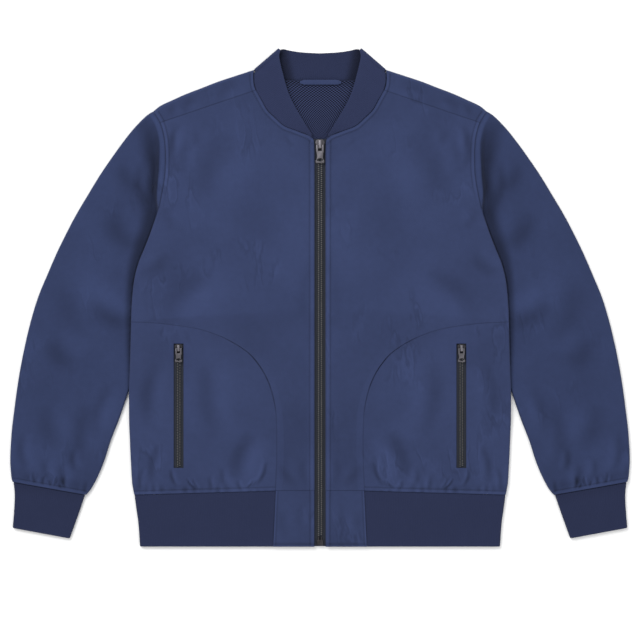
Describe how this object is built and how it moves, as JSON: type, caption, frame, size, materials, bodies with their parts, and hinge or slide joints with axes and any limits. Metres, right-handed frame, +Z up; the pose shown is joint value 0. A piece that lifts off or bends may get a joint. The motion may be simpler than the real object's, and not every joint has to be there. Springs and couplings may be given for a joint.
{
  "type": "bomber jacket",
  "caption": "Zip-front bomber jacket lying flat, with rib collar, cuffs and hem, curved side panels and zipped slit pockets.",
  "frame": {"origin": "on the surface that the jacket lies on, under the middle of its outline", "axes": "+Z up from the surface, towards the jacket's front; +Y towards the neck; +X towards the wearer's left"},
  "size_m": [0.88, 0.706, 0.0115],
  "materials": {
    "shell_cloth": "navy cotton twill, matt, with a soft brushed surface",
    "rib_knit": "darker navy fine rib knit, matt",
    "mesh_lining": "dark navy knitted mesh with a diagonal net of small holes",
    "zip_tape": "near-black woven tape",
    "zip_metal": "gunmetal plating, satin"
  },
  "bodies": {
    "root": {"back_panel": "shell_cloth", "front_panel_left": "shell_cloth", "front_panel_right": "shell_cloth", "pocket_panel_left": "shell_cloth", "pocket_panel_right": "shell_cloth", "sleeve_left": "shell_cloth", "sleeve_right": "shell_cloth", "cuff_left": "rib_knit", "cuff_right": "rib_knit", "hem_rib": "rib_knit", "hem_tab_left": "shell_cloth", "hem_tab_right": "shell_cloth", "collar_rib": "rib_knit", "neck_lining": "mesh_lining", "hanger_loop": "shell_cloth", "zip_tape_left": "zip_tape", "zip_tape_right": "zip_tape", "zip_chain": "zip_metal", "zip_box": "zip_metal", "zip_slider": "zip_metal", "pocket_zip_tape_left": "zip_tape", "pocket_zip_chain_left": "zip_metal", "pocket_zip_slider_left": "zip_metal", "pocket_zip_tape_right": "zip_tape", "pocket_zip_chain_right": "zip_metal", "pocket_zip_slider_right": "zip_metal"},
    "front_tab": {"zip_tab": "zip_metal"},
    "pocket_tab_left": {"pocket_zip_tab_left": "zip_metal"},
    "pocket_tab_right": {"pocket_zip_tab_right": "zip_metal"}
  },
  "joints": [
    {"name": "front_tab_swing", "type": "hinge", "parent": "root", "child": "front_tab", "pos_m": [0, 0.2168, 0.00935], "axis": [-1, 0, 0], "range_deg": [0, 170]},
    {"name": "pocket_tab_left_swing", "type": "hinge", "parent": "root", "child": "pocket_tab_left", "pos_m": [0.2006, -0.0718, 0.00875], "axis": [-1, 0, 0], "range_deg": [0, 170]},
    {"name": "pocket_tab_right_swing", "type": "hinge", "parent": "root", "child": "pocket_tab_right", "pos_m": [-0.2006, -0.0718, 0.00875], "axis": [-1, 0, 0], "range_deg": [0, 170]}
  ]
}
